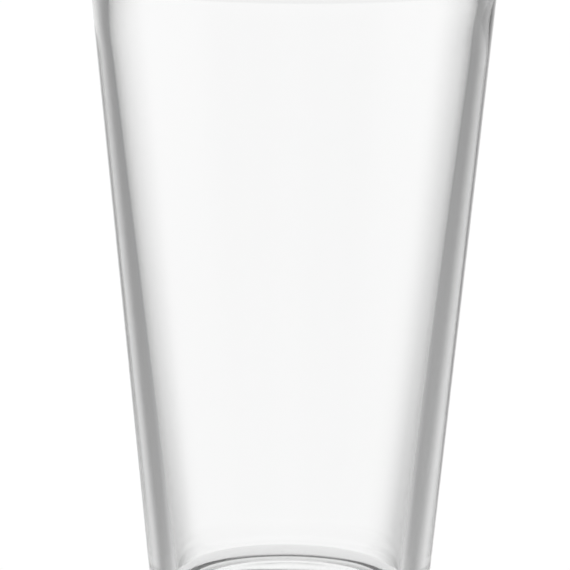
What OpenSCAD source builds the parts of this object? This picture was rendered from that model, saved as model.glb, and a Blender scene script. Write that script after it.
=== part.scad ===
// Pint mixing glass: one pressed, tapered tumbler of clear glass with a heavy bottom.
// It stands on z = 0 with its axis on +Z, and the origin is the centre of the resting plane.
// The glass is one moulding. Its three nodes are zones of it that meet face to face:
// the solid base, the side wall and the rim that a shaker tin or a strainer seats on.

/* [Size] */
// Height from the table to the top of the lip
glass_h = 149.2; // [130:0.1:180]
// Largest outside diameter, at the lip
rim_d = 88.9; // [84:0.1:96]
// Outside diameter of the foot, where the wall line meets the table plane
foot_d = 60.3; // [58:0.1:68]

/* [Thickness] */
// Radius of the fully rounded lip, half of the glass thickness there
lip_r = 1.75; // [1.2:0.05:2.2]
// Thickness of the wall at the level of the inner floor
low_wall = 6.2; // [4:0.1:8]
// Thickness of the solid bottom, from the table plane to the inner floor
floor_t = 12; // [8:0.5:24]

/* [Rounding] */
// Radius of the outside edge between the wall and the foot
heel_r = 1.2; // [0.5:0.1:3]
// Radius of the inside corner between the wall and the floor
corner_r = 2.5; // [1:0.5:12]

/* [Underside] */
// Outside diameter of the shallow hollow under the base
punt_d = 54; // [20:0.5:56]
// Depth of that hollow at the axis
punt_depth = 2; // [0.5:0.1:4]

/* [Zones] */
// Height of the zone at the top that counts as the rim
rim_zone_h = 8; // [4:0.5:20]

/* [Hidden] */
$fn = 180;

glass_tint = [0.86, 0.90, 0.89, 0.45];

// Corners of the half-section before rounding, as [radius, height]
foot_corner = [foot_d / 2, 0];
lip_centre = [rim_d / 2 - lip_r, glass_h - lip_r];

// The point where a line from p touches the circle of radius r about c.
// side is 1 for the touch point clockwise of the direction from c to p, and -1 for the other.
function touch(p, c, r, side) =
    let (to_p = atan2(p[1] - c[1], p[0] - c[0]))
    let (turn = acos(r / norm(p - c)))
    c + r * [cos(to_p + side * turn), sin(to_p + side * turn)];

// The radius, at height z, of the straight line through points a and b
function radius_at(z, a, b) = a[0] + (b[0] - a[0]) * (z - a[1]) / (b[1] - a[1]);

// How far a line through a and b leans from upright, in degrees
function lean(a, b) = atan2(b[0] - a[0], b[1] - a[1]);

// Outside of the wall, from the foot to the lip
lip_outer = touch(foot_corner, lip_centre, lip_r, 1);
outer_lean = lean(foot_corner, lip_outer);
floor_outer = radius_at(floor_t, foot_corner, lip_outer);

// Inside of the wall, from the corner of the floor to the lip
floor_corner = [floor_outer - low_wall / cos(outer_lean), floor_t];
lip_inner = touch(floor_corner, lip_centre, lip_r, -1);
inner_lean = lean(floor_corner, lip_inner);

// Centre of the heel's round and the two points where it leaves the foot and the wall
heel_centre = [radius_at(heel_r, foot_corner, lip_outer) - heel_r / cos(outer_lean), heel_r];
heel_wall = heel_centre + heel_r * [cos(outer_lean), -sin(outer_lean)];

// Centre of the inner corner's round and the two points where it meets the floor and the wall
corner_centre = [
    radius_at(floor_t + corner_r, floor_corner, lip_inner) - corner_r / cos(inner_lean),
    floor_t + corner_r
];
corner_wall = corner_centre + corner_r * [cos(inner_lean), -sin(inner_lean)];

// Radius of the sphere whose cap is the hollow under the base
punt_r = (pow(punt_d / 2, 2) + pow(punt_depth, 2)) / (2 * punt_depth);

// Half of the glass's section, with its axis on x = 0
module half_section() {
    difference() {
        union() {
            polygon([
                [0, 0],
                [heel_centre[0], 0],
                heel_wall,
                lip_outer,
                lip_inner,
                corner_wall,
                [corner_centre[0], floor_t],
                [0, floor_t]
            ]);
            translate(heel_centre) circle(r = heel_r);
            translate(lip_centre) circle(r = lip_r);
        }
        translate(corner_centre) circle(r = corner_r);
        translate([0, punt_depth - punt_r]) circle(r = punt_r);
    }
}

// The part of the glass between two heights, turned about the axis
module zone(low, high) {
    color(glass_tint)
    rotate_extrude()
    intersection() {
        half_section();
        translate([0, low]) square([rim_d, high - low]);
    }
}

// Solid heavy bottom with the resting ring and the hollow under it,
// up to the top of the rounded inside corner
module base() {
    zone(0, floor_t + corner_r);
}

// Tapered wall above the inside corner
module side_wall() {
    zone(floor_t + corner_r, glass_h - rim_zone_h);
}

// Top of the wall with the rounded lip
module rim() {
    zone(glass_h - rim_zone_h, glass_h);
}

base();
side_wall();
rim();
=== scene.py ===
"""Looks of a clear pressed pint mixing glass: one continuous mesh on a pale plinth in soft studio light.

Everything is in metres in the CAD's frame: the foot rests on z = 0 and the axis is +Z.
"""

import math
import random

import bpy
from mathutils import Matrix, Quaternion, Vector


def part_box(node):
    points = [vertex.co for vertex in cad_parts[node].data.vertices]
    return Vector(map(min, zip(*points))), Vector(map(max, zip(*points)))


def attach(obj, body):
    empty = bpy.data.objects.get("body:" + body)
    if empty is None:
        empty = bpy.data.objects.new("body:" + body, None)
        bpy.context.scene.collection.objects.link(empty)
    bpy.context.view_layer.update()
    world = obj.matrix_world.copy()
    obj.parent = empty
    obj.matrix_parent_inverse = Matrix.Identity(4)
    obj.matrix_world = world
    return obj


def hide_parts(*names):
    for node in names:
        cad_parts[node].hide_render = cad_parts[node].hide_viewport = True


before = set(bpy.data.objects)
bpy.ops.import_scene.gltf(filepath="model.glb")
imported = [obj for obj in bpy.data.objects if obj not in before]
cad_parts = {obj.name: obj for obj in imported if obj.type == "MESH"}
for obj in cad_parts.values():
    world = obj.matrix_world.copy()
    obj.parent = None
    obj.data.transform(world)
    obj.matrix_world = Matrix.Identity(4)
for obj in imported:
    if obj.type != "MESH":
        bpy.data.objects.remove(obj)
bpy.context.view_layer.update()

# One millimetre in metres
MM = 0.001

# The glass, read from the CAD's zones
RIM_LOW, RIM_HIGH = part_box("rim")
GLASS_HEIGHT = RIM_HIGH.z
RIM_RADIUS = (RIM_HIGH.x - RIM_LOW.x) / 2

# Sizes inside the zones, the same as in the CAD
FOOT_RADIUS = 30.15 * MM
LIP_RADIUS = 1.75 * MM
LOW_WALL = 6.2 * MM
FLOOR_HEIGHT = 12.0 * MM
HEEL_RADIUS = 1.2 * MM
CORNER_RADIUS = 2.5 * MM
PUNT_RADIUS = 27.0 * MM
PUNT_DEPTH = 2.0 * MM

# What pressing leaves, too fine for the CAD: an inside a little off the axis, and a ripple on both faces.
# A ripple is a sum of waves. Each order is a number of waves round the glass. A wave turns by up to the
# drift, in radians, for every metre of height. Its size is drawn from the range and falls with its order.
OFF_CENTRE = 0.25 * MM
RIPPLE = 0.02 * MM
RIPPLE_ORDERS = (3, 4, 5, 7, 9, 12, 16)
RIPPLE_DRIFT = 25
RIPPLE_SIZES = (0.4, 1)
RIPPLE_FALL = 0.6

# The ripple and the shift off centre fade out between these two depths below the top of the lip.
# The outer ripple also fades in over this height above the heel's round.
RIM_FADE = (14 * MM, 3 * MM)
HEEL_FADE = 12 * MM

# Mesh resolution
SIDES = 384
WALL_STEP = 2.5 * MM
RING_STEP = 0.6 * MM
PUNT_STEPS = 16
HEEL_STEPS = 10
LIP_STEPS = 24
CORNER_STEPS = 10
PLINTH_STEPS = 40

# The plinth: flat under the glass and a hair below it, then falling away in a long round
PLINTH_FLAT = 38 * MM
PLINTH_ROLL = 100 * MM
PLINTH_TOP = -0.2 * MM
PLINTH_BOTTOM = -500 * MM

# Brightness of the soft panels by degrees from straight behind the glass, the same on both sides.
# A colour ramp holds no more than 1, so it is given each brightness as a share of the brightest one allowed.
PANELS = (
    (0, 1.02),
    (8, 1.01),
    (35, 0.33),
    (45, 0.33),
    (70, 0.95),
    (105, 0.85),
    (140, 0.65),
    (180, 0.65),
)
BRIGHTEST = 1.25

# Brightness above and below the panels, and the degrees above level between which they blend
OVERHEAD = 1.1
OVERHEAD_BLEND = (15, 40)
BELOW = 0.9
BELOW_BLEND = (-28, -21)

# The camera stands in front of the glass, a little to the left of its axis, and is turned to half its height.
# The lens and the sensor are in Blender's own millimetres, and the shift is a share of the picture's width.
CAMERA_DISTANCE = 800 * MM
CAMERA_HEIGHT = 242 * MM
CAMERA_SIDE = -1.45 * MM
CAMERA_ROLL = math.radians(0.42)
CAMERA_LENS = 232.7
CAMERA_SENSOR = 36
CAMERA_SHIFT = 0.042


# --- half-sections

def touch(point, centre, radius, side):
    """Where a line from point touches the circle, on the side that is asked for."""
    to_point = math.atan2(point[1] - centre[1], point[0] - centre[0])
    turn = math.acos(radius / math.dist(point, centre))
    angle = to_point + side * turn
    return (centre[0] + radius * math.cos(angle), centre[1] + radius * math.sin(angle))


def radius_at(height, low, high):
    """Radius at a height of the straight line through two points."""
    return low[0] + (high[0] - low[0]) * (height - low[1]) / (high[1] - low[1])


def lean(low, high):
    """How far a line leans from upright."""
    return math.atan2(high[0] - low[0], high[1] - low[1])


def arc(centre, radius, start, end, steps):
    """Points along an arc, from one angle to another, ends included."""
    angles = [start + (end - start) * i / steps for i in range(steps + 1)]
    return [(centre[0] + radius * math.cos(a), centre[1] + radius * math.sin(a)) for a in angles]


def line(start, end, step):
    """Points along a straight line, ends left out."""
    count = max(1, round(math.dist(start, end) / step))
    return [
        (start[0] + (end[0] - start[0]) * i / count, start[1] + (end[1] - start[1]) * i / count)
        for i in range(1, count)
    ]


def glass_sections():
    """The glass's half-section as (radius, height) points: underside, outside with the lip, and inside."""
    foot = (FOOT_RADIUS, 0.0)
    lip_centre = (RIM_RADIUS - LIP_RADIUS, GLASS_HEIGHT - LIP_RADIUS)
    lip_outer = touch(foot, lip_centre, LIP_RADIUS, 1)
    outer_lean = lean(foot, lip_outer)
    floor_edge = (
        radius_at(FLOOR_HEIGHT, foot, lip_outer) - LOW_WALL / math.cos(outer_lean),
        FLOOR_HEIGHT,
    )
    lip_inner = touch(floor_edge, lip_centre, LIP_RADIUS, -1)
    inner_lean = lean(floor_edge, lip_inner)
    heel = (
        radius_at(HEEL_RADIUS, foot, lip_outer) - HEEL_RADIUS / math.cos(outer_lean),
        HEEL_RADIUS,
    )
    corner = (
        radius_at(FLOOR_HEIGHT + CORNER_RADIUS, floor_edge, lip_inner) - CORNER_RADIUS / math.cos(inner_lean),
        FLOOR_HEIGHT + CORNER_RADIUS,
    )
    punt_sphere = (PUNT_RADIUS**2 + PUNT_DEPTH**2) / (2 * PUNT_DEPTH)
    punt_angle = math.asin(PUNT_RADIUS / punt_sphere)

    down = -math.pi / 2
    punt = arc((0, PUNT_DEPTH - punt_sphere), punt_sphere, math.pi / 2, math.pi / 2 - punt_angle, PUNT_STEPS)
    heel_arc = arc(heel, HEEL_RADIUS, down, -outer_lean, HEEL_STEPS)
    lip_arc = arc(lip_centre, LIP_RADIUS, -outer_lean, math.pi - inner_lean, LIP_STEPS)
    corner_arc = arc(corner, CORNER_RADIUS, -inner_lean, down, CORNER_STEPS)
    underside = punt + line(punt[-1], heel_arc[0], RING_STEP)
    outside = heel_arc + line(heel_arc[-1], lip_arc[0], WALL_STEP) + lip_arc
    inside = line(lip_arc[-1], corner_arc[0], WALL_STEP) + corner_arc
    inside += line(corner_arc[-1], (0.0, FLOOR_HEIGHT), WALL_STEP) + [(0.0, FLOOR_HEIGHT)]
    return underside, outside, inside


# --- meshes

def lathe(name, profile, shape=None):
    """Turns a half-section, whose first and last points are on the axis, into a closed mesh.

    shape(index, radius, height, angle) gives each point's own radius, where the piece isn't quite round.
    """
    rings = profile[1:-1]
    verts = [(0.0, 0.0, profile[0][1])]
    for index, (radius, height) in enumerate(rings, start=1):
        for side in range(SIDES):
            angle = 2 * math.pi * side / SIDES
            r = shape(index, radius, height, angle) if shape else radius
            verts.append((r * math.cos(angle), r * math.sin(angle), height))
    verts.append((0.0, 0.0, profile[-1][1]))
    last = len(verts) - 1
    top = last - SIDES
    faces = []
    for side in range(SIDES):
        following = (side + 1) % SIDES
        faces.append((0, 1 + following, 1 + side))
        faces.append((last, top + side, top + following))
        for ring in range(len(rings) - 1):
            low = 1 + ring * SIDES
            high = low + SIDES
            faces.append((low + side, low + following, high + following, high + side))
    mesh = bpy.data.meshes.new(name)
    mesh.from_pydata(verts, [], faces)
    mesh.validate()
    mesh.shade_smooth()
    piece = bpy.data.objects.new(name, mesh)
    bpy.context.scene.collection.objects.link(piece)
    return piece


def ripples(seed):
    """A smooth unevenness round a wall, mostly between -1 and 1, that drifts slowly with height."""
    draw = random.Random(seed)
    waves = [
        (
            order,
            draw.uniform(0, 2 * math.pi),
            draw.uniform(-RIPPLE_DRIFT, RIPPLE_DRIFT),
            draw.uniform(*RIPPLE_SIZES) / order**RIPPLE_FALL,
        )
        for order in RIPPLE_ORDERS
    ]

    def at(angle, height):
        return sum(
            size * math.sin(order * angle + start + drift * height)
            for order, start, drift, size in waves
        )

    return at


def ease(value, start, end):
    """0 before start, 1 after end, and a smooth rise between."""
    t = min(1.0, max(0.0, (value - start) / (end - start)))
    return t * t * (3 - 2 * t)


def pressed_glass():
    """The whole glass, with the slight unevenness of a pressed one."""
    underside, outside, inside = glass_sections()
    first_outside = len(underside)
    first_inside = first_outside + len(outside)
    outer_ripple = ripples(seed=3)
    inner_ripple = ripples(seed=8)

    def shape(index, radius, height, angle):
        below_lip = 1 - ease(height, GLASS_HEIGHT - RIM_FADE[0], GLASS_HEIGHT - RIM_FADE[1])
        if index < first_outside:
            return radius
        if index < first_inside:
            above_heel = ease(height, HEEL_RADIUS, HEEL_RADIUS + HEEL_FADE)
            return radius + RIPPLE * outer_ripple(angle, height) * below_lip * above_heel
        on_wall = ease(radius, 0.0, FOOT_RADIUS / 2) * below_lip
        moved = RIPPLE * inner_ripple(angle, height) - OFF_CENTRE * math.cos(angle)
        return radius + moved * on_wall

    return lathe("mixing_glass", underside + outside + inside, shape)


def plinth():
    """Pale floor: flat under the glass, then falling away in a long round."""
    side = arc((PLINTH_FLAT, PLINTH_TOP - PLINTH_ROLL), PLINTH_ROLL, 0, math.pi / 2, PLINTH_STEPS)
    foot = [(0.0, PLINTH_BOTTOM), (PLINTH_FLAT + PLINTH_ROLL, PLINTH_BOTTOM)]
    return lathe("floor", foot + side + [(0.0, PLINTH_TOP)])


# --- materials

def noise(nodes, links, coordinates, scale, detail):
    """Noise of a scale and detail at the given coordinates."""
    texture = nodes.new("ShaderNodeTexNoise")
    texture.inputs["Scale"].default_value = scale
    texture.inputs["Detail"].default_value = detail
    links.new(coordinates, texture.inputs["Vector"])
    return texture.outputs["Fac"]


def spread(nodes, links, value, low, high):
    """Maps noise, which stays near its middle, to the range from low to high."""
    mapping = nodes.new("ShaderNodeMapRange")
    mapping.inputs["From Min"].default_value = 0.35
    mapping.inputs["From Max"].default_value = 0.65
    mapping.inputs["To Min"].default_value = low
    mapping.inputs["To Max"].default_value = high
    links.new(value, mapping.inputs["Value"])
    return mapping.outputs["Result"]


def new_material(name):
    """A material with its nodes, its links and its shader."""
    material = bpy.data.materials.new(name)
    material.use_nodes = True
    nodes = material.node_tree.nodes
    return material, nodes, material.node_tree.links, nodes["Principled BSDF"]


def clear_glass():
    """Clear soda-lime glass: a trace of uneven gloss, and a body that takes up a little light."""
    material, nodes, links, shader = new_material("clear_glass")
    place = nodes.new("ShaderNodeTexCoord").outputs["Object"]
    shader.inputs["Base Color"].default_value = (1.0, 1.0, 1.0, 1.0)
    shader.inputs["Transmission Weight"].default_value = 1.0
    shader.inputs["IOR"].default_value = 1.52
    film = noise(nodes, links, place, scale=40, detail=3)
    links.new(spread(nodes, links, film, low=0.0, high=0.012), shader.inputs["Roughness"])
    body = nodes.new("ShaderNodeVolumeAbsorption")
    body.inputs["Color"].default_value = (0.50, 0.52, 0.51, 1.0)
    body.inputs["Density"].default_value = 8.0
    links.new(body.outputs["Volume"], nodes["Material Output"].inputs["Volume"])
    return material


def pale_floor():
    """A pale matt floor, softly lit from within like a light table, so that clear glass stays clear on it."""
    material, nodes, links, shader = new_material("pale_floor")
    place = nodes.new("ShaderNodeTexCoord").outputs["Object"]
    grain = noise(nodes, links, place, scale=300, detail=4)
    shader.inputs["Base Color"].default_value = (0.40, 0.40, 0.40, 1.0)
    shader.inputs["Emission Color"].default_value = (1.0, 1.0, 1.0, 1.0)
    shader.inputs["Emission Strength"].default_value = 0.46
    links.new(spread(nodes, links, grain, low=0.75, high=0.85), shader.inputs["Roughness"])
    return material


# --- light

def calc(tree, operation, *values):
    """A maths node; each value is a number or another node's output."""
    node = tree.nodes.new("ShaderNodeMath")
    node.operation = operation
    for socket, value in zip(node.inputs, values):
        if hasattr(value, "is_output"):
            tree.links.new(value, socket)
        else:
            socket.default_value = value
    return node.outputs[0]


def blend(tree, limits, value, first, second):
    """first where value is under both limits, second where it is over both, and a smooth blend between."""
    share = tree.nodes.new("ShaderNodeMapRange")
    share.interpolation_type = "SMOOTHSTEP"
    share.inputs["From Min"].default_value = limits[0]
    share.inputs["From Max"].default_value = limits[1]
    tree.links.new(value, share.inputs["Value"])
    kept = calc(tree, "MULTIPLY", first, calc(tree, "SUBTRACT", 1.0, share.outputs["Result"]))
    return calc(tree, "MULTIPLY_ADD", second, share.outputs["Result"], kept)


def panels_around(tree, turn):
    """The panels' brightness at a turn, in radians, from straight behind the glass."""
    around = tree.nodes.new("ShaderNodeValToRGB")
    around.color_ramp.interpolation = "EASE"
    stops = around.color_ramp.elements
    while len(stops) < len(PANELS):
        stops.new(0.5)
    for stop, (degrees, brightness) in zip(stops, PANELS):
        stop.position = degrees / 180
        stop.color = (*[brightness / BRIGHTEST] * 3, 1)
    tree.links.new(calc(tree, "DIVIDE", turn, math.pi), around.inputs["Fac"])
    return calc(tree, "MULTIPLY", around.outputs["Color"], BRIGHTEST)


def studio_light():
    """Soft panels all round the glass, with an even light above and below them."""
    world = bpy.data.worlds.new("studio")
    bpy.context.scene.world = world
    world.use_nodes = True
    tree = world.node_tree
    direction = tree.nodes.new("ShaderNodeSeparateXYZ")
    tree.links.new(tree.nodes.new("ShaderNodeTexCoord").outputs["Generated"], direction.inputs[0])
    rise = calc(tree, "MULTIPLY", calc(tree, "ARCSINE", direction.outputs["Z"]), 180 / math.pi)
    turn = calc(tree, "ABSOLUTE", calc(tree, "ARCTAN2", direction.outputs["X"], direction.outputs["Y"]))
    lower = blend(tree, BELOW_BLEND, rise, BELOW, panels_around(tree, turn))
    light = blend(tree, OVERHEAD_BLEND, rise, lower, OVERHEAD)
    tree.links.new(light, tree.nodes["Background"].inputs["Color"])


# --- camera

def front_camera():
    """A long lens that looks slightly down at the glass and cuts off its foot."""
    data = bpy.data.cameras.new("camera")
    data.sensor_width = CAMERA_SENSOR
    data.lens = CAMERA_LENS
    data.shift_y = CAMERA_SHIFT
    camera = bpy.data.objects.new("camera", data)
    bpy.context.scene.collection.objects.link(camera)
    camera.location = (CAMERA_SIDE, -CAMERA_DISTANCE, CAMERA_HEIGHT)
    aim = Vector((CAMERA_SIDE, 0, GLASS_HEIGHT / 2))
    level = (aim - camera.location).to_track_quat("-Z", "Y")
    camera.rotation_euler = (level @ Quaternion((0, 0, 1), CAMERA_ROLL)).to_euler()
    bpy.context.scene.camera = camera


# --- the glass, the floor, the light and the camera

glass = pressed_glass()
glass.data.materials.append(clear_glass())
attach(glass, "root")
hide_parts("base", "side_wall", "rim")

floor = plinth()
floor.data.materials.append(pale_floor())

studio_light()
front_camera()
bpy.context.scene.view_settings.view_transform = "Standard"
